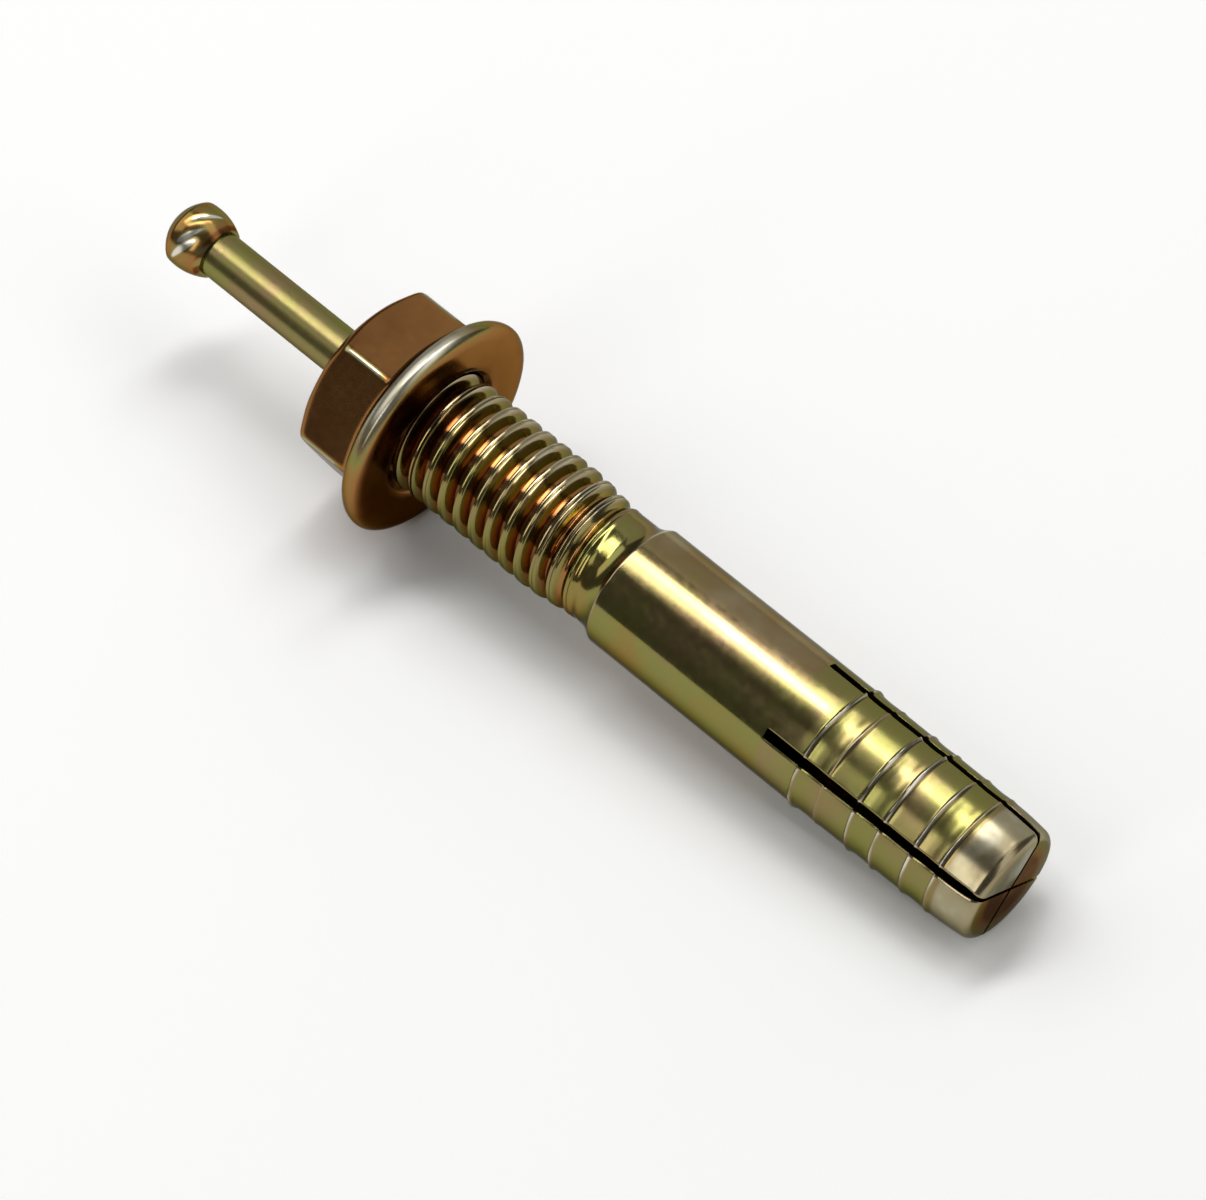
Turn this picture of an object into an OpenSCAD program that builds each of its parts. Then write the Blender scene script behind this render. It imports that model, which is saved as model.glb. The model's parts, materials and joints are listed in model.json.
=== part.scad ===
// Hit anchor: a plated steel stud with a split expansion end, a pin that is
// hammered in to spread it, and a flange nut that clamps the fixture.
// It lies on a flat surface as it comes to rest, on the flange and the split end.
// Every height is measured along the bolt's axis from the split tip upward.

/* [Stud] */
// Length of the stud from its split tip to its top
stud_len = 60; // [50:1:150]
// Diameter of the plain shank
shank_d = 9.85; // [9.2:0.05:11]
// Diameter over the thread's crests
thread_d = 9.75; // [9.2:0.05:10.2]
// Length of the thread, down from the stud's top and with its run-out
thread_len = 21.5; // [14:0.5:24]
// Length of the run-out, where the crests are not filled
runout_len = 5; // [1:0.5:8]
// Distance from turn to turn of the thread
thread_pitch = 1.5; // [1:0.05:2]
// Depth of the thread
thread_depth = 0.8; // [0.4:0.05:1]
// Width of the thread's groove at its floor
thread_root_w = 0.26; // [0.1:0.02:0.4]
// Half of the angle between the thread's flanks
thread_flank = 30; // [25:1:32]
// Distance from the stud's top to the thread's first groove
thread_start = 1.6; // [1.4:0.1:2.4]
// Diameter of the neck between the thread and the shoulder
neck_d = 8.7; // [7.5:0.05:9.1]
// Length of the neck
neck_len = 1.9; // [0.5:0.1:4]
// Length of the cone between the neck and the shank
shoulder_len = 1.3; // [0.4:0.1:3]
// Chamfer on the stud's top edge
top_chamfer = 0.8; // [0.2:0.1:1.2]

/* [Expansion end] */
// Length of the two crossed saw slots, up from the tip
slot_len = 19.4; // [17:0.2:24]
// Width of a slot where it starts
slot_w = 0.85; // [0.5:0.05:1.4]
// Width of a slot at the tip, where the four leaves are squeezed together
slot_tip_w = 0.55; // [0.3:0.05:1.2]
// Turn of the slots about the axis, from straight up
slot_turn = 34.3; // [30:0.1:60]
// Number of rolled rings
ring_count = 3; // [1:1:3]
// Height of the first ring above the tip
first_ring = 4.8; // [4.7:0.1:5.2]
// Distance from ring to ring
ring_pitch = 5.04; // [4:0.02:5.2]
// Width of a ring's groove at its floor
groove_w = 0.85; // [0.4:0.05:1]
// Depth of a ring's groove
groove_depth = 0.14; // [0.05:0.01:0.3]
// Width of the slope on each side of a groove
groove_slope = 0.3; // [0.1:0.05:0.4]
// Distance between the two ridges that the groove throws up
ridge_span = 2.24; // [2:0.02:2.6]
// Height of a ridge above the leaf
ridge_height = 0.15; // [0.05:0.01:0.2]
// Radius of a ridge's back
ridge_round = 0.6; // [0.3:0.05:1]
// Height at which the leaves start to lean in, below the slots' start
lean_start = 18.4; // [17:0.1:19]
// Diameter of the closed leaves above the tip's band
leaf_d = 9.62; // [9:0.02:9.8]
// Length of the tapered band at the tip
band_len = 3.1; // [1:0.1:3.2]
// Diameter at the tip's rounded edge
tip_d = 9.3; // [8.5:0.05:9.6]
// Radius of the tip's edge
tip_round = 0.5; // [0.2:0.05:1]

/* [Drive pin] */
// Diameter of the pin
pin_d = 3.7; // [2.8:0.05:4.4]
// Radial clearance of the pin in its bore
pin_clearance = 0.06; // [0.02:0.01:0.1]
// Height of the head's underside above the stud's top, before it is driven
pin_out = 17.4; // [6:0.1:20]
// Height above the tip at which the driven pin's point stops
point_stop = 3; // [2:0.1:8]
// Length of the pin's tapered point
point_len = 2.5; // [1:0.1:4]
// Diameter of the flat at the end of the point
point_d = 1.6; // [0.6:0.1:2.6]
// Largest diameter of the head
head_d = 5.4; // [5:0.05:7]
// Height of the head
head_h = 4.3; // [3.6:0.1:6]
// Height of the head's largest diameter above its underside
head_belly = 2.3; // [1.4:0.1:2.6]
// Radius of the bulge of the head's side
belly_round = 4.7; // [4:0.1:9]
// Radius of the dome on the head
dome_round = 3.3; // [3:0.1:6]

/* [Flange nut] */
// Width of the hexagon across its flats
nut_af = 13.8; // [12.5:0.1:15]
// Height of the nut
nut_h = 7.5; // [5:0.05:10]
// Height of the nut's top above the stud's top
nut_proud = 1.9; // [0:0.1:2.4]
// Turn of the nut about the axis, one corner from straight up
nut_turn = 34.1; // [0:0.1:60]
// Diameter of the circle that the corner chamfer leaves on top
nut_top_d = 13.2; // [11.5:0.1:13.6]
// Slope of the corner chamfer
nut_chamfer_slope = 30; // [20:1:40]
// Diameter of the flange
flange_d = 18.2; // [17:0.1:22]
// Radius of the flange's rounded rim
rim_round = 0.65; // [0.4:0.05:0.9]
// Slope of the flange's top
flange_slope = 25; // [15:1:30]
// Radial clearance of the nut on the thread
nut_clearance = 0.06; // [0.02:0.01:0.1]
// Chamfer at both ends of the nut's bore
nut_countersink = 0.5; // [0.2:0.05:0.8]

/* [Hidden] */
$fn = 96;
// Overshoot of a cutting shape past the face it cuts
past = 1;
// Half of the angle of a drill's point
drill_half_angle = 59;

shank_r = shank_d / 2;
thread_r = thread_d / 2;
neck_r = neck_d / 2;
leaf_r = leaf_d / 2;
tip_r = tip_d / 2;
thread_foot = stud_len - thread_len;
neck_foot = thread_foot - neck_len;
shank_top = neck_foot - shoulder_len;
turn_count = floor((thread_len - thread_start) / thread_pitch);
turn_heights = [for (i = [0:turn_count]) stud_len - thread_start - i * thread_pitch];

pin_r = pin_d / 2;
bore_r = pin_r + pin_clearance;
pin_len = stud_len - point_stop;
head_foot = stud_len + pin_out;
head_top = head_foot + head_h;

nut_bore_r = thread_r + nut_clearance;
nut_face = stud_len + nut_proud - nut_h;
rim_r = flange_d / 2 - rim_round;
corner_r = nut_af / 2 / cos(30);

// Radius of the closed leaves at a height: they lean in towards the tip
function leaf_radius(z) = leaf_r + (shank_r - leaf_r) * (z - band_len) / (lean_start - band_len);
ring_heights = [for (i = [0:ring_count - 1]) first_ring + i * ring_pitch];
ridge_heights = [for (z = ring_heights, side = [-1, 1]) z + side * ridge_span / 2];
function ridge_centre(z) = leaf_radius(z) + ridge_height - ridge_round;

// Tilt at rest, with the floor touching the flange's rim and a lower round edge.
// That edge is a circle of radius r about the point at radius x and height z.
function rest_tilt(x, z, r) =
    let (along = nut_face + rim_round - z, out = rim_r - x)
    asin((rim_round - r) / norm([along, out])) + atan2(out, along);
tip_tilt = rest_tilt(tip_r - tip_round, tip_round, tip_round);
ridge_tilts = [for (z = ridge_heights) rest_tilt(ridge_centre(z), z, ridge_round)];
tilt = min(tip_tilt, min(ridge_tilts));
// Height of the tip's centre over the floor
lift = rim_r * cos(tilt) + rim_round - (nut_face + rim_round) * sin(tilt);
// Reach of the part from the tip's centre, to the tip's side and to the head's
tip_reach = (tip_r - tip_round) * sin(tilt) + tip_round * (1 - cos(tilt));
head_reach = (head_top - dome_round) * cos(tilt) + dome_round;

// Lays the bolt down, with the head towards -X and the tip towards +X
module at_rest() {
    translate([(head_reach - tip_reach) / 2, 0, lift])
        rotate([0, tilt - 90, 0])
            children();
}

// Outline of the stud without its thread and rings, from the axis outward
module stud_blank() {
    polygon([
        [0, 0],
        [tip_r - tip_round, 0],
        [tip_r, tip_round],
        [leaf_r, band_len],
        [shank_r, lean_start],
        [shank_r, shank_top],
        [neck_r, neck_foot],
        [neck_r, thread_foot],
        [thread_r, thread_foot + runout_len],
        [thread_r, stud_len - top_chamfer],
        [thread_r - top_chamfer, stud_len],
        [0, stud_len],
    ]);
    translate([tip_r - tip_round, tip_round])
        circle(tip_round);
}

// Groove of one turn of the thread, drawn as a ring
module thread_groove(z) {
    floor_r = thread_r - thread_depth;
    mouth_r = thread_r + past;
    mouth_w = thread_root_w / 2 + (mouth_r - floor_r) * tan(thread_flank);
    polygon([
        [floor_r, z - thread_root_w / 2],
        [floor_r, z + thread_root_w / 2],
        [mouth_r, z + mouth_w],
        [mouth_r, z - mouth_w],
    ]);
}

// Groove of one rolled ring
module ring_groove(z) {
    floor_r = leaf_radius(z) - groove_depth;
    mouth_r = leaf_radius(z) + ridge_height;
    mouth_w = groove_w / 2 + groove_slope * (mouth_r - floor_r) / groove_depth;
    polygon([
        [floor_r, z - groove_w / 2],
        [floor_r, z + groove_w / 2],
        [mouth_r, z + mouth_w],
        [mouth_r, z - mouth_w],
    ]);
}

// Blind bore for the pin, as a drill leaves it
module pin_bore() {
    drill_point = bore_r / tan(drill_half_angle);
    rotate_extrude()
        polygon([
            [0, point_stop - drill_point],
            [bore_r, point_stop],
            [bore_r, stud_len + past],
            [0, stud_len + past],
        ]);
}

// One saw slot right across the stud, closed towards the tip
module saw_slot() {
    reach = shank_d + 2 * past;
    spread = (slot_w - slot_tip_w) / slot_len;
    end_w = slot_tip_w - past * spread;
    rotate([90, 0, 90])
        linear_extrude(reach, center = true)
            polygon([
                [-end_w / 2, -past],
                [end_w / 2, -past],
                [slot_w / 2, slot_len],
                [-slot_w / 2, slot_len],
            ]);
}

// Stud turned in one piece: thread, neck, shank and four leaves
module anchor_body() {
    color("#8f7d3c")
        at_rest()
            difference() {
                rotate_extrude() {
                    difference() {
                        stud_blank();
                        for (z = turn_heights)
                            thread_groove(z);
                        for (z = ring_heights)
                            ring_groove(z);
                    }
                    for (z = ridge_heights)
                        translate([ridge_centre(z), z])
                            circle(ridge_round);
                }
                pin_bore();
                for (turn = [0, 90])
                    rotate(slot_turn + turn)
                        saw_slot();
            }
}

// Pin with a bulged, domed head
module drive_pin() {
    color("#b3a04a")
        at_rest() {
            rotate_extrude()
                polygon([
                    [0, head_foot - pin_len],
                    [point_d / 2, head_foot - pin_len],
                    [pin_r, head_foot - pin_len + point_len],
                    [pin_r, head_foot + head_belly],
                    [0, head_foot + head_belly],
                ]);
            rotate_extrude()
                intersection() {
                    translate([head_d / 2 - belly_round, head_foot + head_belly])
                        circle(belly_round);
                    translate([0, head_top - dome_round])
                        circle(dome_round);
                    translate([0, head_foot])
                        square([head_d, head_h]);
                }
        }
}

// Outline of the flange, from the bore outward
module flange_outline() {
    cone_foot_r = rim_r + rim_round * sin(flange_slope);
    cone_foot_z = rim_round * (1 + cos(flange_slope));
    polygon([
        [nut_bore_r, 0],
        [rim_r, 0],
        [cone_foot_r, cone_foot_z],
        [nut_bore_r, cone_foot_z + (cone_foot_r - nut_bore_r) * tan(flange_slope)],
    ]);
    translate([rim_r, rim_round])
        circle(rim_round);
}

// Hexagon with its corners chamfered
module nut_hexagon() {
    chamfer_h = (corner_r - nut_top_d / 2) * tan(nut_chamfer_slope);
    intersection() {
        translate([0, 0, rim_round])
            cylinder(h = nut_h - rim_round, r = corner_r, $fn = 6);
        union() {
            cylinder(h = nut_h - chamfer_h, r = corner_r + past);
            translate([0, 0, nut_h - chamfer_h])
                cylinder(h = chamfer_h, r1 = corner_r, r2 = nut_top_d / 2);
        }
    }
}

// Bore of the nut with a chamfer at both ends
module nut_bore() {
    mouth_r = nut_bore_r + nut_countersink;
    rotate_extrude()
        polygon([
            [0, -past],
            [mouth_r + past, -past],
            [nut_bore_r, nut_countersink],
            [nut_bore_r, nut_h - nut_countersink],
            [mouth_r + past, nut_h + past],
            [0, nut_h + past],
        ]);
}

// Hexagon nut forged in one piece with its flange
module flange_nut() {
    color("#7d5a2c")
        at_rest()
            translate([0, 0, nut_face])
                rotate(nut_turn)
                    difference() {
                        union() {
                            rotate_extrude()
                                flange_outline();
                            nut_hexagon();
                        }
                        nut_bore();
                    }
}

anchor_body();
drive_pin();
flange_nut();
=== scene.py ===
"""Hit anchor in yellow-chromated steel: the looks of its stud, its drive pin and its flange nut.

Every piece is a surface about the bolt's axis. Heights are in millimetres from the split tip
towards the pin's head, radii in millimetres from the axis, and angles in radians from straight up.
"""

import json
import math

import bmesh
import bpy
import numpy as np
from mathutils import Matrix, Vector


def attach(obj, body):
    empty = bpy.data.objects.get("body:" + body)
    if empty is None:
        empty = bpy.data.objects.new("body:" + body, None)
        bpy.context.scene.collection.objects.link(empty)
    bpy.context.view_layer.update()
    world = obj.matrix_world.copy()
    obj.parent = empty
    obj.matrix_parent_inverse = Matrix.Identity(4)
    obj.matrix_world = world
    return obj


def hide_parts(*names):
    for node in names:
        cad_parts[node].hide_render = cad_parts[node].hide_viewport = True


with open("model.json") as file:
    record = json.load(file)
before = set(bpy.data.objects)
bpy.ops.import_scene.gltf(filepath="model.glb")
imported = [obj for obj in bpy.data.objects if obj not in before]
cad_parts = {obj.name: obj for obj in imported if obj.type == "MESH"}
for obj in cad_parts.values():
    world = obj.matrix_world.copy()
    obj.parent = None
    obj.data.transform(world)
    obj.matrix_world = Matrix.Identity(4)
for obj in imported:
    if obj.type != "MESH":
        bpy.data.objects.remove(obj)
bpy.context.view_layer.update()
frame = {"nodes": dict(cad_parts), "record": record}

MM = 0.001
TURN = 2 * math.pi

# Patches join where their points are this close, in millimetres
JOIN = 0.0005

# Bolt's axis and the main heights along it, from the frame
shank_mount = next(m for m in frame["record"]["mounts"] if m["name"] == "shank")
to_head = -np.array(shank_mount["axis"])
side = np.array([0.0, 1.0, 0.0])
up = np.cross(side, to_head)


def span_along_axis(node):
    """Lowest and highest distance of a CAD node along the bolt's axis, in metres."""
    points = np.array([v.co for v in frame["nodes"][node].data.vertices])
    along = points @ to_head
    return along.min(), along.max()


tip_along, top_along = span_along_axis("anchor_body")
on_axis = np.array(shank_mount["pos_m"])
tip = on_axis + to_head * (tip_along - on_axis @ to_head)
stud_len = (top_along - tip_along) / MM
nut_face, nut_top = ((along - tip_along) / MM for along in span_along_axis("flange_nut"))
pin_foot, head_top = ((along - tip_along) / MM for along in span_along_axis("drive_pin"))

# Stud, in millimetres
shank_r = shank_mount["dims"]["r_mm"]
shank_top = 35.3
shoulder_len = 1.35
shoulder_curve = 1.8
neck_r = 4.38
chamfer = 0.8
bore_r = 1.91
bore_foot = 3.0
drill_half_angle = math.radians(59)

# Rolled thread, right-handed, with a fine seam where the two sides of each crest meet
pitch = 1.5
crest_r = 4.87
root_r = 4.06
crest_height_at_top = 0.765
crest_land = 0.2
flank_end = 0.64
straight_share = 0.6
seam_half = 0.05
seam_depth = 0.025
seam_depth_runout = 0.12
runout_foot = 37.25
runout_swing = 0.6
runout_turn = 0.5
runout_len = 1.7
fill_len = 5.6

# Expansion end: four leaves between two crossed saw slots, squeezed shut at the tip
slot_len = 19.4
slot_w = 0.85
slot_tip_w = 0.6
slot_end_w = 0.32
slot_close = 1.3
slot_turn = math.radians(34.3)
slot_angles = [slot_turn + quarter * TURN / 4 for quarter in range(4)]
slot_edge_round = 0.09
slot_edge_fade = 0.4
slot_burr = 0.025
burr_in = 0.12
burr_half = 0.08
burr_wave = 0.9
leaf_r = 4.81
lean_start = 18.4
band_len = 3.1
band_curve = 1.6
tip_r = 4.64
tip_round = 0.75

# Rolled rings: a groove with a lip thrown up on each side of it
ring_heights = (4.8, 9.82, 14.9)
lip_heights = ((0.1, 0.13), (0.17, 0.18), (0.06, 0.19))
lip_span = 2.26
lip_tip_side = 0.17
lip_head_side = 0.08
lip_wander = 0.07
lip_mean = 0.85
lip_swing = 0.6
lip_least, lip_most = 0.1, 1.3
groove_half = 0.52
groove_depth = 0.025

# Rows and columns of the stud's mesh: the rows lie closest where the lips and the thread need them
leaf_columns = 28
mouth_share = np.linspace(-1, 1, 3)
wall_steps = 3
tip_row, lip_row, groove_row, plain_row = 0.05, 0.045, 0.14, 0.3
groove_reach, lip_reach, plain_reach = 0.8, 1.5, 3.5
shank_start_row, shank_row, shoulder_row = 0.2, 0.8, 0.07
shank_start_len, shoulder_lead = 0.6, 0.3

# Drive pin, with a bulged and domed head that the heading tool has dented
pin_r = 1.85
point_r = 0.8
point_len = 2.5
head_h = 4.3
head_r = 2.7
head_belly = 2.3
belly_round = 4.7
dome_round = 3.3
head_dent = 0.11
dent_seed = 0.8
dent_twist = 2.6
dent_waves = 7
dent_start = 2
pin_columns = 96
head_rows = 60
point_row, shaft_row = 0.5, 1.2

# Flange nut, with heights from its bearing face
nut_h = nut_top - nut_face
nut_turn = math.radians(34.1)
nut_flats_r = 6.9
nut_corner_round = 0.55
nut_chamfer_r = 6.75
nut_chamfer_slope = math.radians(32)
nut_edge_blend = 0.8
rim_r = 9.1
rim_roll_in = 1.1
rim_roll_up = 0.7
rim_top_round = 1.1
flange_slope = math.radians(25)
flange_fillet = 0.85
nut_clearance = 0.08
nut_mouth_r = 5.45
nut_minor_r = 4.25
nut_columns = 24
tapped_row = 0.11

# Share of the chromate film on each surface, from 0 for bare zinc to 1 for the thickest film.
# Wear takes film away, and so do the painted glints on the pin's head: for each millimetre where the name
# says so, and otherwise in all
cut_film = 0.6
end_face_film = 0.5
# End faces of the four leaves: thick, dark film on three as painted shade, thin, pale film on the upper
# one as a painted reflection
leaf_end_films = (0.95, 0.95, 0.95, 0.05)
tip_band_film, tip_band_end, tip_band_fade = 0.16, 2.9, 0.5
ringed_film, ringed_end, ringed_fade = 0.48, 16.2, 0.6
ringed_satin_end, ringed_satin_fade = 16.4, 0.8
slot_start_film = 0.38
lip_wear_per_mm, lip_wear_height = 4, 0.1
shank_film, shank_film_swing, shank_thin_side = 0.47, 0.18, 0.7
neck_film_gain = 0.1
shoulder_wear, shoulder_wear_half = 0.3, 0.1
root_film_gain, crest_wear, seam_film_gain = 0.36, 0.6, 0.25
thread_film_start, thread_film_fade = 0.5, 2
shaft_film = 0.42
# Painted shade: thicker, darker film at the foot of the head, where it meets the shaft
head_film, head_under_painted_shade_gain = 0.74, 0.3
head_under_share, head_under_fade = 0.14, 0.08
dent_wear_per_mm = 3
# Painted highlight: pale film in patches across the head's middle, standing in for glints
painted_glint_pale, painted_glint_from, painted_glint_fade = 0.68, 0.08, 0.25
dome_share, dome_fade = 0.8, 0.25
nut_film, tapped_film = 0.84, 0.8
# Rim: a little film lost all round, and a pale, duller band on one side that is partly wear and partly a
# painted highlight
rim_film_loss, rim_pale_wear_and_highlight, rim_satin = 0.06, 0.72, 0.6
rim_band_in, rim_band_in_fade = 0.8, 0.6
rim_band_up, rim_band_up_fade = 0.05, 0.35
rim_painted_highlight_side, rim_painted_highlight_gain, rim_painted_highlight_least = -0.33, 2.2, 1.1
corner_wear, corner_wear_in, corner_wear_fade, corner_wear_reach = 0.71, 0.07, 0.06, 0.3
# Painted shade: thicker, darker film on the bearing face away from its lit side
face_painted_shade_gain, face_painted_shade_fade = 0.16, 0.35
face_painted_lit_side, face_painted_shade_mean, face_painted_shade_swing = math.radians(61), 0.6, 1.2


def smooth(x):
    """Eased step from 0 to 1."""
    x = np.clip(x, 0, 1)
    return x * x * (3 - 2 * x)


def bell(x):
    """Bell curve, 1 at 0 and near 0 past 2."""
    return np.exp(-(x**2))


def zigzag(x):
    """Triangle wave between -1 and 1."""
    return np.arcsin(np.sin(x)) * 2 / math.pi


def uneven(angle, seed):
    """Kinked unevenness round the axis, about -1 to 1, that closes on itself."""
    return (
        0.5 * zigzag(2 * angle + seed)
        + 0.35 * zigzag(5 * angle + 2.3 * seed)
        + 0.25 * zigzag(9 * angle + 4.1 * seed)
    )


def stations(*spans):
    """Heights from the first span's start to the last one's end; each span has its own step."""
    parts = [np.linspace(a, b, max(2, round((b - a) / step) + 1))[:-1] for a, b, step in spans]
    return np.append(np.concatenate(parts), spans[-1][1])


def eased_share(count):
    """Shares from 0 to 1 that crowd towards both ends."""
    even = np.linspace(0, 1, count + 1)
    return 0.25 * even + 0.75 * (0.5 - 0.5 * np.cos(math.pi * even))


def around(radius, angle, height):
    """World points at radii, angles and heights about the bolt's axis."""
    radius, angle, height = np.broadcast_arrays(radius, angle, height)
    across = radius * np.cos(angle)
    beside = radius * np.sin(angle)
    return tip + MM * (height[..., None] * to_head + across[..., None] * up + beside[..., None] * side)


class Skin:
    """Gathers patches of points into one closed mesh."""

    def __init__(self):
        self.points = []
        self.finish_values = {"film": [], "satin": []}
        self.faces = []
        self.count = 0

    def patch(self, points, film, satin=0.0, wrap=False):
        """Adds a grid of points with a face between each four neighbours."""
        rows, columns = points.shape[:2]
        index = self.count + np.arange(rows * columns).reshape(rows, columns)
        if wrap:
            index = np.hstack([index, index[:, :1]])
        corners = (index[:-1, :-1], index[:-1, 1:], index[1:, 1:], index[1:, :-1])
        self.faces.extend(np.stack(corners, axis=-1).reshape(-1, 4).tolist())
        self.points.append(points.reshape(-1, 3))
        for name, value in (("film", film), ("satin", satin)):
            self.finish_values[name].append(np.broadcast_to(value, (rows, columns)).reshape(-1))
        self.count += rows * columns

    def between(self, first, last, film, steps, wrap=False):
        """Adds the straight patch between two rows of points."""
        share = np.linspace(0, 1, steps + 1)[:, None, None]
        self.patch(first + (last - first) * share, film, wrap=wrap)

    def finish(self, name, sharp_degrees=50):
        """Joins the patches and returns the object, with its finish as vertex attributes."""
        points = np.concatenate(self.points)
        mesh = bpy.data.meshes.new(name)
        mesh.from_pydata(points.tolist(), [], self.faces)
        cells = np.round(points / (JOIN * MM)).astype(int)
        shared = np.unique(cells, axis=0, return_inverse=True)[1].reshape(-1)
        for attribute_name, values in self.finish_values.items():
            even = np.bincount(shared, np.concatenate(values)) / np.bincount(shared)
            attribute = mesh.attributes.new(attribute_name, "FLOAT", "POINT")
            attribute.data.foreach_set("value", even[shared].astype(np.float32))
        built = bmesh.new()
        built.from_mesh(mesh)
        bmesh.ops.remove_doubles(built, verts=built.verts, dist=JOIN * MM)
        bmesh.ops.recalc_face_normals(built, faces=built.faces)
        built.to_mesh(mesh)
        built.free()
        mesh.shade_smooth()
        mesh.set_sharp_from_angle(angle=math.radians(sharp_degrees))
        piece = bpy.data.objects.new(name, mesh)
        bpy.context.scene.collection.objects.link(piece)
        return piece


def thread_profile(height, angle):
    """Height of the thread's profile, 0 in the root and 1 on the crest, and the place across it."""
    along = height - crest_height_at_top - pitch * angle / TURN
    across = (along + pitch / 2) % pitch - pitch / 2
    flank = np.clip((np.abs(across) - crest_land) / (flank_end - crest_land), 0, 1)
    return 1 - straight_share * flank - (1 - straight_share) * smooth(flank), across


def thread_radius(height, angle):
    """Radius of the rolled thread, which runs out towards the neck with its crests unfilled."""
    profile, across = thread_profile(height, angle)
    above = height - runout_foot - runout_swing * np.sin(angle + runout_turn)
    filled = smooth(above / fill_len)
    cut = smooth(above / runout_len)
    crest = neck_r + (crest_r - neck_r) * filled
    root = neck_r + (root_r - neck_r) * cut
    seam = seam_depth + (seam_depth_runout - seam_depth) * (1 - filled)
    seam = seam * cut * bell(across / seam_half)
    top = crest_r - (height - (stud_len - chamfer))
    return np.minimum(root + (crest - root) * profile - seam, np.maximum(top, root_r))


def blank_radius(height):
    """Turned outline of the stud, without its rings and its thread."""
    leaned = np.interp(height, (band_len, lean_start), (leaf_r, shank_r))
    on_band = np.clip((band_len - height) / (band_len - tip_round), 0, 1)
    leaned = leaned - (leaf_r - tip_r) * on_band**band_curve
    below = np.clip(tip_round - height, 0, tip_round)
    edge = tip_round - np.sqrt(tip_round**2 - below**2)
    down = np.clip((height - shank_top) / shoulder_len, 0, 1)
    return leaned - edge - (shank_r - neck_r) * (1 - (1 - down) ** shoulder_curve)


def ring_relief(height, angle):
    """Groove and lips of the rolled rings, above or below the blank."""
    relief = np.zeros(np.broadcast(height, angle).shape)
    for ring, (z, lips) in enumerate(zip(ring_heights, lip_heights)):
        relief -= groove_depth * bell(((height - z) / groove_half) ** 2)
        for direction, lip in zip((-1, 1), lips):
            seed = 1.7 * ring + direction
            centre = z + direction * lip_span / 2 + lip_wander * uneven(angle, seed)
            width = np.where(height < centre, lip_tip_side, lip_head_side)
            share = np.clip(lip_mean + lip_swing * uneven(angle, 3.1 * seed), lip_least, lip_most)
            relief += lip * share * bell((height - centre) / width)
    return relief


def slot_width(height):
    """Width of a saw slot, which the squeezed leaves narrow towards the tip."""
    wide = slot_tip_w + (slot_w - slot_tip_w) * height / slot_len
    return slot_end_w + (wide - slot_end_w) * smooth(height / slot_close)


def bore_radius(height):
    """Radius inside the leaves: the drilled bore, its point, and the slots' crossing below it."""
    drilled = np.clip((height - bore_foot) * math.tan(drill_half_angle) + bore_r, 0, bore_r)
    return np.maximum(drilled, slot_width(height) / 2 * math.sqrt(2))


def slot_half_angle(height, radius):
    """Half of the angle that a slot takes up at a radius."""
    return np.arcsin(slot_width(height) / 2 / radius)


def sector(slot_angle, half_angle):
    """Angles of a leaf's columns, from one slot's edge to the next one's."""
    return slot_angle + half_angle + (TURN / 4 - 2 * half_angle) * eased_share(leaf_columns)


def closed_ring(half_angle):
    """Angles all round the stud, in line with the leaves and the slots' mouths below."""
    parts = []
    for slot_angle in slot_angles:
        parts.append((slot_angle + half_angle * mouth_share)[:-1])
        parts.append(sector(slot_angle, half_angle)[:-1])
    return np.concatenate(parts)


def leaf_stations():
    """Heights of the leaves' rows, from the tip to the slots' start."""
    spans = [(0, tip_round, tip_row), (tip_round, ring_heights[0] - lip_reach, plain_row)]
    for z in ring_heights:
        spans.append((z - lip_reach, z - groove_reach, lip_row))
        spans.append((z - groove_reach, z + groove_reach, groove_row))
        spans.append((z + groove_reach, z + lip_reach, lip_row))
        spans.append((z + lip_reach, z + plain_reach, plain_row))
    spans[-1] = (ring_heights[-1] + lip_reach, slot_len, plain_row)
    return stations(*spans)[:, None]


def sawn_edge(height, angle, slot_angle):
    """Rounding and burr along a leaf's two sawn edges, which fade out at the slots' start."""
    from_edge = np.minimum(angle - angle[:, :1], angle[:, -1:] - angle) * shank_r
    rounded = np.clip(1 - from_edge / slot_edge_round, 0, 1) ** 2 * slot_edge_round / 2
    ridge = slot_burr * bell((from_edge - burr_in) / burr_half)
    burr = ridge * np.sin(burr_wave * height + 9 * slot_angle) ** 2
    return (burr - rounded) * smooth((slot_len - height) / slot_edge_fade)


def leaf_film(height, relief):
    """Film on a leaf: thin on the tip's band, thicker between the rings, rubbed off the lips."""
    on_rings = smooth((height - tip_band_end) / tip_band_fade)
    past_rings = smooth((height - ringed_end) / ringed_fade)
    film = tip_band_film + (ringed_film - tip_band_film) * on_rings
    film = film + (slot_start_film - ringed_film) * past_rings
    return film - lip_wear_per_mm * np.clip(relief, 0, lip_wear_height)


def stud_film(height, angle):
    """Film on the shank and the thread: thick in the roots, rubbed thin on the crests."""
    profile, across = thread_profile(height, angle)
    necked = smooth((height - shank_top) / shoulder_len)
    threaded = smooth((height - runout_foot - thread_film_start) / thread_film_fade)
    film = shank_film - shank_film_swing * np.cos(angle - shank_thin_side)
    film = film + neck_film_gain * necked
    film = film - shoulder_wear * bell((height - shank_top) / shoulder_wear_half)
    thread_film = root_film_gain - crest_wear * profile + seam_film_gain * bell(across / seam_half)
    return film + threaded * thread_film


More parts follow.
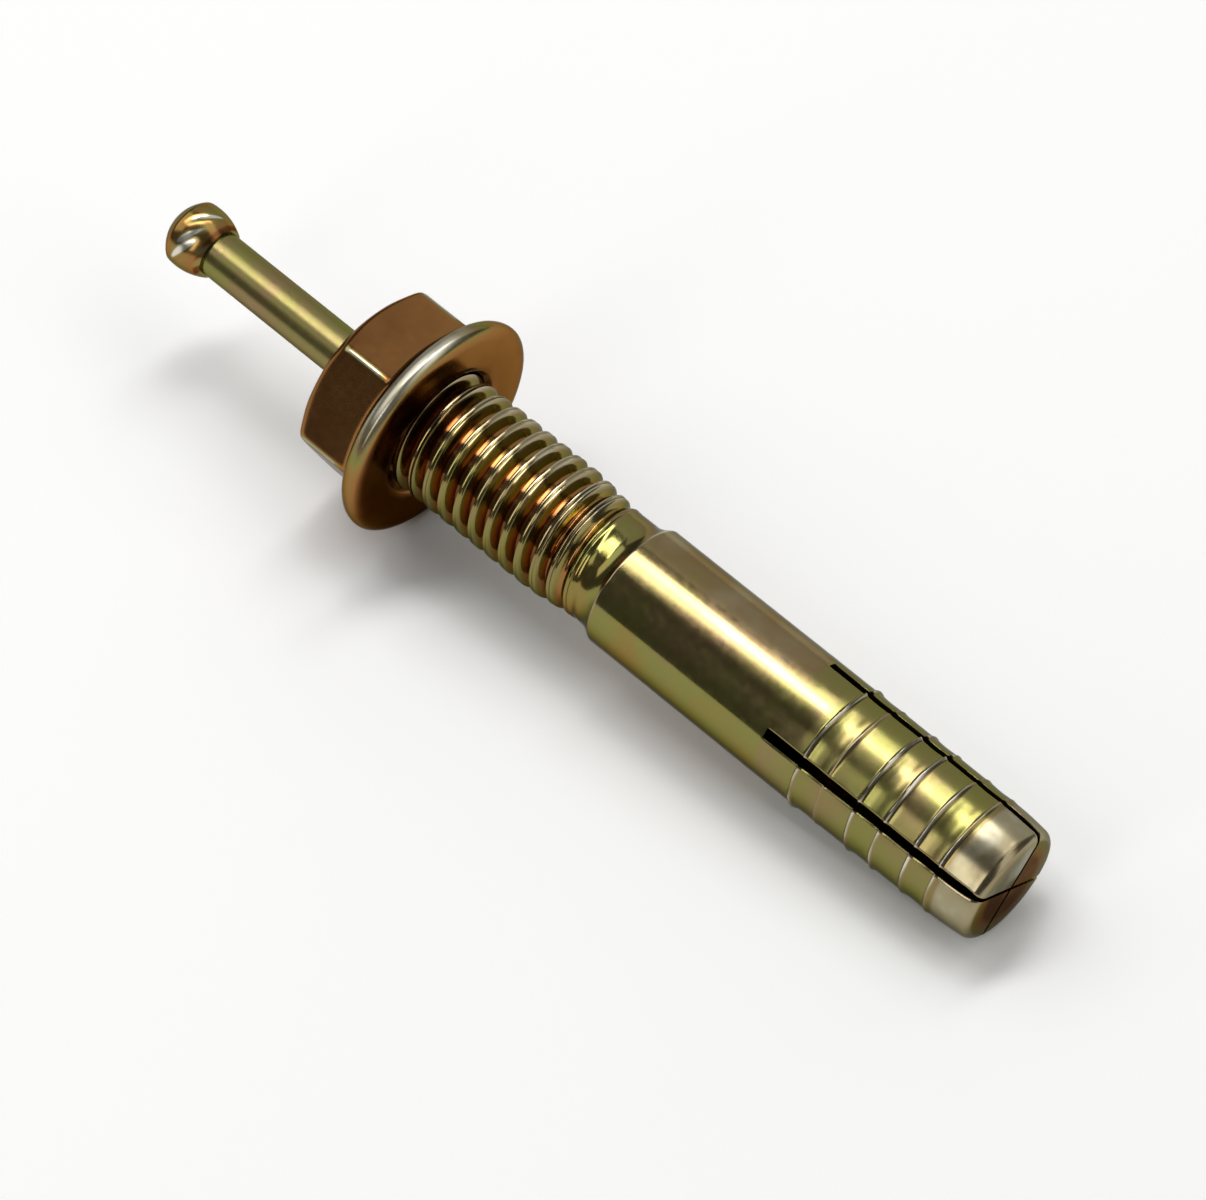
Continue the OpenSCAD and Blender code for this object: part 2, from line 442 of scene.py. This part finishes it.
def add_leaf(skin, slot_angle, end_film):
    """Adds a leaf: its outside, its side of the bore, its end face and its two sawn walls."""
    height = leaf_stations()
    angle = sector(slot_angle, slot_half_angle(height, blank_radius(height)))
    relief = ring_relief(height, angle)
    edge_form = sawn_edge(height, angle, slot_angle)
    outer = around(blank_radius(height) + relief + edge_form, angle, height)
    satin = 1 - smooth((height - ringed_satin_end) / ringed_satin_fade)
    skin.patch(outer, leaf_film(height, relief), satin)
    bore = bore_radius(height)
    inner = around(bore, sector(slot_angle, slot_half_angle(height, bore)), height)
    skin.patch(inner, cut_film)
    skin.between(outer[0], inner[0], end_film, wall_steps)
    for edge in (0, -1):
        skin.between(outer[:, edge], inner[:, edge], cut_film, wall_steps)


def add_slot_end(skin, slot_angle, mouth_half, bore_half):
    """Adds the wall that ends a slot."""
    height = np.array(slot_len)
    mouth = slot_angle + mouth_half * mouth_share
    outer = around(blank_radius(height) + ring_relief(height, mouth), mouth, height)
    inner = around(bore_r, slot_angle + bore_half * mouth_share, height)
    skin.between(outer, inner, cut_film, wall_steps)


def add_shank(skin, angles):
    """Adds the plain shank and its shoulder, up to the neck."""
    height = stations(
        (slot_len, slot_len + shank_start_len, shank_start_row),
        (slot_len + shank_start_len, shank_top - shoulder_lead, shank_row),
        (shank_top - shoulder_lead, shank_top + shoulder_len, shoulder_row),
    )[:, None]
    radius = blank_radius(height) + ring_relief(height, angles)
    skin.patch(around(radius, angles, height), stud_film(height, angles), wrap=True)


def add_thread(skin, angles):
    """Adds the thread. Its rows follow the helix, and fold onto the thread's ends where they pass them."""
    foot = shank_top + shoulder_len
    crest_rows = np.linspace(0, crest_land, 5)[:-1]
    half_rows = np.append(crest_rows, np.linspace(crest_land, flank_end, 6))
    turn_rows = np.concatenate([-half_rows[:0:-1], half_rows, [pitch / 2]])
    start = crest_height_at_top + pitch * angles[0] / TURN
    first = math.floor((foot - start) / pitch) - 1
    last = math.ceil((stud_len - start) / pitch) + 1
    rows = np.concatenate([start + turn * pitch + turn_rows for turn in range(first, last)])[:, None]
    closed_angles = np.append(angles, angles[0] + TURN)
    height = rows + pitch * (closed_angles - angles[0]) / TURN
    height = np.clip(height, foot, stud_len)
    thread = around(thread_radius(height, closed_angles), closed_angles, height)
    skin.patch(thread, stud_film(height, closed_angles))


def add_bore(skin, angles, bore_angles):
    """Adds the bore above the slots and the stud's top face."""
    height = np.array([slot_len, (slot_len + stud_len) / 2, stud_len])[:, None]
    bore = around(bore_r, bore_angles, height)
    skin.patch(bore, cut_film, wrap=True)
    top_z = np.array(stud_len)
    top_edge = around(thread_radius(top_z, angles), angles, top_z)
    skin.between(top_edge, bore[-1], end_face_film, wall_steps, wrap=True)


def stud():
    """Threaded stud in one closed surface: four slotted leaves, shank, thread and bore."""
    skin = Skin()
    slot_start = np.array(slot_len)
    mouth_half = slot_half_angle(slot_start, blank_radius(slot_start))
    bore_half = slot_half_angle(slot_start, bore_r)
    for slot_angle, end_film in zip(slot_angles, leaf_end_films):
        add_leaf(skin, slot_angle, end_film)
    for slot_angle in slot_angles:
        add_slot_end(skin, slot_angle, mouth_half, bore_half)
    angles = closed_ring(mouth_half)
    add_shank(skin, angles)
    add_thread(skin, angles)
    add_bore(skin, angles, closed_ring(bore_half))
    return skin.finish("plated_stud")


def pin():
    """Drive pin with its upset head, which the heading tool has left dented."""
    skin = Skin()
    angle = np.linspace(0, TURN, pin_columns, endpoint=False)
    head_foot = head_top - head_h
    point_top = pin_foot + point_len
    shaft_z = stations((pin_foot, point_top, point_row), (point_top, head_foot, shaft_row))[:, None]
    shaft = around(np.interp(shaft_z, (pin_foot, point_top), (point_r, pin_r)), angle, shaft_z)

    eased = 0.5 + 0.5 * np.cos(np.linspace(0, math.pi, head_rows))
    head_z = (head_top - head_h * eased)[:, None]
    belly = head_r - belly_round + np.sqrt(belly_round**2 - (head_z - head_foot - head_belly) ** 2)
    dome = np.sqrt(np.clip(dome_round**2 - (head_z - (head_top - dome_round)) ** 2, 0, None))
    share = (head_z - head_foot) / head_h
    lumps = uneven(angle + dent_twist * share, dent_seed) * np.sin(dent_waves * share + dent_start)
    dents = lumps * np.sin(math.pi * share) * head_dent
    radius = np.minimum(belly, dome) + np.minimum(dents, 0)
    head = around(np.maximum(radius, 0), angle, head_z)

    # Painted highlight: pale film in patches across the head's middle, standing in for glints
    painted_glint = smooth((-lumps - painted_glint_from) / painted_glint_fade) * smooth((dome_share - share) / dome_fade)
    # Painted shade at the foot of the head, where it meets the shaft
    under = smooth((head_under_share - share) / head_under_fade)
    film = head_film - dent_wear_per_mm * np.abs(dents) - painted_glint_pale * painted_glint
    film = film + head_under_painted_shade_gain * under
    skin.patch(shaft, shaft_film, 1.0, wrap=True)
    skin.patch(head, film, wrap=True)
    skin.between(shaft[-1], head[0], end_face_film, 2, wrap=True)
    foot_centre = np.broadcast_to(shaft[0].mean(axis=0), shaft[0].shape)
    skin.between(shaft[0], foot_centre, end_face_film, 2, wrap=True)
    return skin.finish("plated_pin")


def hexagon_radius(angle):
    """Radius of the nut's hexagon with its upright edges rounded."""
    from_flat = (angle - nut_turn) % (TURN / 6) - TURN / 12
    from_corner = TURN / 12 - np.abs(from_flat)
    centre = (nut_flats_r - nut_corner_round) / math.cos(TURN / 12)
    arc_start = math.atan2(centre * math.sin(TURN / 12), nut_flats_r)
    off = np.minimum((centre * np.sin(from_corner)) ** 2, nut_corner_round**2)
    arc = centre * np.cos(from_corner) + np.sqrt(nut_corner_round**2 - off)
    return np.where(np.abs(from_flat) > arc_start, arc, nut_flats_r / np.cos(from_flat))


def rim_rows():
    """Bearing face and rolled rim of the flange, as radii and heights."""
    rows = []
    for share in np.linspace(0, 1, 6)[:-1]:
        rows.append((nut_mouth_r + (rim_r - rim_roll_in - nut_mouth_r) * share, 0.0))
    for turn in np.linspace(-math.pi / 2, 0, 14)[:-1]:
        rolled_in = rim_roll_in * (1 - math.cos(turn))
        rows.append((rim_r - rolled_in, rim_roll_up * (1 + math.sin(turn))))
    for turn in np.linspace(0, math.pi / 2 - flange_slope, 10):
        rounded_in = rim_top_round * (1 - math.cos(turn))
        rows.append((rim_r - rounded_in, rim_roll_up + rim_top_round * math.sin(turn)))
    return rows


def fillet_rows(wall, cone_r, cone_z):
    """Cone of the flange and the fillet between it and the hexagon's wall, as radii and heights."""
    rows = []
    fillet_r = wall + flange_fillet * (1 - math.sin(flange_slope))
    fillet_z = cone_z + (cone_r - fillet_r) * math.tan(flange_slope)
    centre_r = wall + flange_fillet
    centre_z = fillet_z + flange_fillet * math.cos(flange_slope)
    for share in (0.35, 0.7):
        rows.append((cone_r + (fillet_r - cone_r) * share, cone_z + (fillet_z - cone_z) * share))
    for turn in np.linspace(1.5 * math.pi - flange_slope, math.pi, 9):
        radius = centre_r + flange_fillet * math.cos(turn)
        rows.append((radius, centre_z + flange_fillet * math.sin(turn)))
    return rows, centre_z


def hexagon_rows(wall, wall_foot):
    """Hexagon's wall, its chamfered edge and the top face, as radii and heights."""
    rows = []
    chamfer_z = nut_h - (wall - nut_chamfer_r) * math.tan(nut_chamfer_slope)
    edge_z = chamfer_z - nut_edge_blend
    for share in np.linspace(0, 1, 6)[1:]:
        rows.append((wall, wall_foot + (edge_z - wall_foot) * share))
    for share in np.linspace(0, 1, 12)[1:]:
        z = edge_z + (nut_h - edge_z) * share
        over = (z - chamfer_z) / math.tan(nut_chamfer_slope)
        eased = np.sqrt(over**2 + nut_edge_blend**2 / 4) + over
        rows.append((wall - eased / 2 * smooth((z - edge_z) / nut_edge_blend), z))
    top_r = rows[-1][0]
    for share in np.linspace(0, 1, 4)[1:]:
        rows.append((top_r + (nut_mouth_r - top_r) * share, nut_h))
    return rows


def nut():
    """Hexagon nut forged with its flange: rounded rim, fillet, chamfered top and a tapped bore."""
    skin = Skin()
    sextant = eased_share(nut_columns)[:-1] * TURN / 6
    angle = np.concatenate([nut_turn + side_index * TURN / 6 + sextant for side_index in range(6)])
    wall = hexagon_radius(angle)
    rim = rim_rows()
    fillet, wall_foot = fillet_rows(wall, *rim[-1])
    rows = rim + fillet + hexagon_rows(wall, wall_foot)
    radius = np.array([np.broadcast_to(r, angle.shape) for r, z in rows])
    height = np.array([np.broadcast_to(z, angle.shape) for r, z in rows])

    # Film rubbed off the rim and the upright corners, where the pale band on one side of the rim is also a
    # painted highlight, and thicker on the bearing face away from its lit side as painted shade
    on_rim = smooth((radius - rim_r + rim_band_in) / rim_band_in_fade)
    on_rim = on_rim * smooth((height - rim_band_up) / rim_band_up_fade)
    # Pale band on the rim's side towards the camera: partly wear, partly a painted highlight
    rubbed = on_rim * smooth(rim_painted_highlight_gain * np.cos(angle - rim_painted_highlight_side) - rim_painted_highlight_least)
    on_wall = smooth((height - wall_foot) / corner_wear_reach)
    on_wall = on_wall * smooth((radius - wall) / corner_wear_reach + 1)
    on_corner = smooth((wall - wall.max() + corner_wear_in) / corner_wear_fade) * on_wall
    # Painted shade: thicker, darker film on the bearing face away from its lit side
    painted_face_shade = smooth(face_painted_shade_mean - face_painted_shade_swing * np.cos(angle - face_painted_lit_side))
    painted_face_shade = painted_face_shade * smooth(1 - height / face_painted_shade_fade)
    film = nut_film - rim_pale_wear_and_highlight * rubbed - rim_film_loss * on_rim
    film = film - corner_wear * on_corner + face_painted_shade_gain * painted_face_shade
    skin.patch(around(radius, angle, nut_face + height), film, rim_satin * rubbed, wrap=True)

    tapped_z = stations((0, nut_h, tapped_row))[:, None]
    profile = thread_profile(nut_face + tapped_z, angle)[0]
    tapped = root_r + (crest_r - root_r) * profile + nut_clearance
    mouth = nut_mouth_r - np.minimum(tapped_z, nut_h - tapped_z)
    tapped = np.maximum(np.maximum(tapped, nut_minor_r), mouth)
    skin.patch(around(tapped, angle, nut_face + tapped_z), tapped_film, wrap=True)
    return skin.finish("plated_nut")


def linear(hex_colour):
    """Linear colour of an sRGB hex value."""
    parts = [int(hex_colour[i : i + 2], 16) / 255 for i in (1, 3, 5)]
    return [c / 12.92 if c <= 0.04045 else ((c + 0.055) / 1.055) ** 2.4 for c in parts] + [1]


def add(tree, kind, settings=None, links=None):
    """Adds a node: settings go to its inputs or properties by name, links from other nodes' outputs."""
    node = tree.nodes.new(kind)
    for name, value in (settings or {}).items():
        if isinstance(name, int) or name in node.inputs:
            node.inputs[name].default_value = value
        else:
            setattr(node, name, value)
    for name, source in (links or {}).items():
        tree.links.new(source, node.inputs[name])
    return node


# Chromate film on zinc, from a thin one to a thick one: share of thickness and colour. Bare zinc
# is a pale grey, and the film takes it through straw, olive and gold to a reddish brown
FILM_COLOURS = (
    (0.0, "#dad5c2"),
    (0.15, "#9f9678"),
    (0.34, "#8c7754"),
    (0.5, "#827f47"),
    (0.66, "#8e7641"),
    (0.82, "#95683c"),
    (1.0, "#694124"),
)
EDGE_TINT = "#a8aba9"

# The noise that drives the film's drift keeps mostly between these, and the grain changes the
# roughness from this far below to this far above
NOISE_LOW, NOISE_HIGH = 0.3, 0.7
GLOSS_BELOW, GLOSS_ABOVE = 0.05, 0.07


def chromated_zinc(name, patch_mm, film_drift, grain_mm, grain_height_mm, roughness, satin_roughness):
    """Zinc plate under a yellow chromate film, on steel of a given surface."""
    material = bpy.data.materials.new(name)
    material.use_nodes = True
    tree = material.node_tree
    tree.nodes.clear()
    place = add(tree, "ShaderNodeTexCoord").outputs["Object"]
    film = add(tree, "ShaderNodeAttribute", {"attribute_name": "film"}).outputs["Fac"]
    cloud = add(tree, "ShaderNodeTexNoise", {"Scale": 1 / (patch_mm * MM), "Detail": 3}, {"Vector": place})
    drift = add(
        tree,
        "ShaderNodeMapRange",
        {"From Min": NOISE_LOW, "From Max": NOISE_HIGH, "To Min": -film_drift, "To Max": film_drift},
        {"Value": cloud.outputs["Fac"]},
    )
    thickness = add(tree, "ShaderNodeMath", {"operation": "ADD"}, {0: film, 1: drift.outputs["Result"]})
    colour = add(tree, "ShaderNodeValToRGB", links={"Fac": thickness.outputs["Value"]})
    stops = colour.color_ramp.elements
    while len(stops) < len(FILM_COLOURS):
        stops.new(0.5)
    for stop, (share, hex_colour) in zip(stops, FILM_COLOURS):
        stop.position = share
        stop.color = linear(hex_colour)
    grain = add(tree, "ShaderNodeTexNoise", {"Scale": 1 / (grain_mm * MM), "Detail": 4}, {"Vector": place})
    gloss = add(
        tree,
        "ShaderNodeMapRange",
        {"To Min": roughness - GLOSS_BELOW, "To Max": roughness + GLOSS_ABOVE},
        {"Value": grain.outputs["Fac"]},
    )
    satin = add(tree, "ShaderNodeAttribute", {"attribute_name": "satin"}).outputs["Fac"]
    dulled = add(
        tree,
        "ShaderNodeMath",
        {"operation": "MULTIPLY_ADD", 1: satin_roughness - roughness},
        {0: satin, 2: gloss.outputs["Result"]},
    )
    bump = add(
        tree,
        "ShaderNodeBump",
        {"Strength": 1.0, "Distance": grain_height_mm * MM},
        {"Height": grain.outputs["Fac"]},
    )
    shader = add(
        tree,
        "ShaderNodeBsdfPrincipled",
        {"Metallic": 1.0, "Specular Tint": linear(EDGE_TINT)},
        {
            "Base Color": colour.outputs["Color"],
            "Roughness": dulled.outputs["Value"],
            "Normal": bump.outputs["Normal"],
        },
    )
    add(tree, "ShaderNodeOutputMaterial", links={"Surface": shader.outputs["BSDF"]})
    return material


def matt_paper(name):
    """White paper under the part, with no gloss."""
    material = bpy.data.materials.new(name)
    material.use_nodes = True
    shader = material.node_tree.nodes["Principled BSDF"]
    shader.inputs["Base Color"].default_value = linear("#fcfcfb")
    shader.inputs["Roughness"].default_value = 1.0
    shader.inputs["Specular IOR Level"].default_value = 0.0
    return material


def softbox(name, direction, distance, width, length, radiance, along=(1, 0, 0)):
    """Even area light that faces the part from a direction, its width along a given line."""
    light = bpy.data.lights.new(name, "AREA")
    light.shape = "RECTANGLE"
    light.size = width
    light.size_y = length
    light.energy = radiance * math.pi * width * length
    lamp = bpy.data.objects.new(name, light)
    towards = Vector(direction).normalized()
    lamp.location = towards * distance
    across = towards.cross(Vector(along)).normalized()
    axes = Matrix((across.cross(towards), across, towards)).transposed()
    lamp.rotation_euler = axes.to_euler()
    bpy.context.scene.collection.objects.link(lamp)


# Plating over turned and rolled steel: smooth enough to mirror the lamps in clear bands, with a
# film that drifts from straw to olive in soft patches, and duller where the leaves were rolled
steel_stud = chromated_zinc(
    "yellow_chromated_zinc_on_rolled_steel",
    patch_mm=5,
    film_drift=0.1,
    grain_mm=0.5,
    grain_height_mm=0.002,
    roughness=0.14,
    satin_roughness=0.23,
)

# Plating over drawn wire: the die's fine grain spreads the lamps into soft satin stripes
steel_pin = chromated_zinc(
    "yellow_chromated_zinc_on_drawn_wire",
    patch_mm=4,
    film_drift=0.1,
    grain_mm=0.4,
    grain_height_mm=0.003,
    roughness=0.22,
    satin_roughness=0.29,
)

# Plating over forged steel: an even reddish-brown film on flat faces, darker on the bearing face away from
# its lit side as painted shade, and rubbed pale and dull on the rim, where the pale band on one side is
# also a painted highlight
steel_nut = chromated_zinc(
    "yellow_chromated_zinc_on_forged_steel",
    patch_mm=6,
    film_drift=0.06,
    grain_mm=0.5,
    grain_height_mm=0.002,
    roughness=0.2,
    satin_roughness=0.4,
)

# Dress the frame
dressed = (
    (stud(), steel_stud, "anchor", "anchor_body", "plated_stud"),
    (pin(), steel_pin, "pin", "drive_pin", "plated_pin"),
    (nut(), steel_nut, "nut", "flange_nut", "plated_nut"),
)
for piece, material, body, node, slot in dressed:
    piece.data.materials.append(material)
    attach(piece, body)
    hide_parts(node)

# Floor of matt paper, which takes the part's soft shadow
floor_half = 2.0
floor_mesh = bpy.data.meshes.new("floor")
floor_signs = ((-1, -1), (1, -1), (1, 1), (-1, 1))
floor_corners = [(x * floor_half, y * floor_half, 0) for x, y in floor_signs]
floor_mesh.from_pydata(floor_corners, [], [(0, 1, 2, 3)])
floor = bpy.data.objects.new("floor", floor_mesh)
floor_mesh.materials.append(matt_paper("matt_white_paper"))
bpy.context.scene.collection.objects.link(floor)

# Two strips overhead draw the bright bands along the shank and the leaves, and broad softboxes
# fill the sides; the back fill reaches down to the floor, so that no dark gap shows in the metal
softbox("overhead_strip", (-0.298, 0.024, 0.956), 0.6, 0.4, 0.12, 7.3, along=(0.4, 0.916, 0))
softbox("tip_strip", (-0.15, 0.368, 0.919), 0.6, 0.36, 0.095, 6.6, along=(0.1, 1, 0))
softbox("front_softbox", (-0.01, -0.82, 0.57), 0.4, 0.085, 0.3, 3.3)
softbox("left_softbox", (-0.67, -0.2, 0.71), 0.8, 0.9, 0.4, 1.32, along=(0, 1, 0))
softbox("right_softbox", (0.84, 0.18, 0.52), 0.8, 0.45, 0.92, 1.08, along=(0, 1, 0))
softbox("tip_softbox", (0.25, 0.36, 0.87), 0.6, 0.3, 0.3, 1.2)
softbox("back_fill", (-0.302, 0.845, 0.44), 0.8, 1.0, 0.78, 0.5)
world = bpy.data.worlds.new("dim_studio")
world.use_nodes = True
world.node_tree.nodes["Background"].inputs["Color"].default_value = linear("#595959")
world.node_tree.nodes["Background"].inputs["Strength"].default_value = 1.0
scene = bpy.context.scene
scene.world = world
scene.view_settings.view_transform = "Standard"

# Camera at the photograph's viewing angle
azimuth, elevation = math.radians(43.11), math.radians(51.99)
camera_distance = 355.0 * MM
aim_right, aim_up = 1.698 * MM, 0.79 * MM
camera_data = bpy.data.cameras.new("camera")
camera_data.sensor_width = 36
camera_data.lens = 145.8
camera_data.clip_start = 0.01
camera = bpy.data.objects.new("camera", camera_data)
level = math.cos(elevation)
back = Vector((math.sin(azimuth) * level, -math.cos(azimuth) * level, math.sin(elevation)))
right = Vector((math.cos(azimuth), math.sin(azimuth), 0))
camera.location = right * aim_right + back.cross(right) * aim_up + back * camera_distance
camera.rotation_euler = (math.pi / 2 - elevation, 0, azimuth)
scene.collection.objects.link(camera)
scene.camera = camera

bpy.context.view_layer.update()
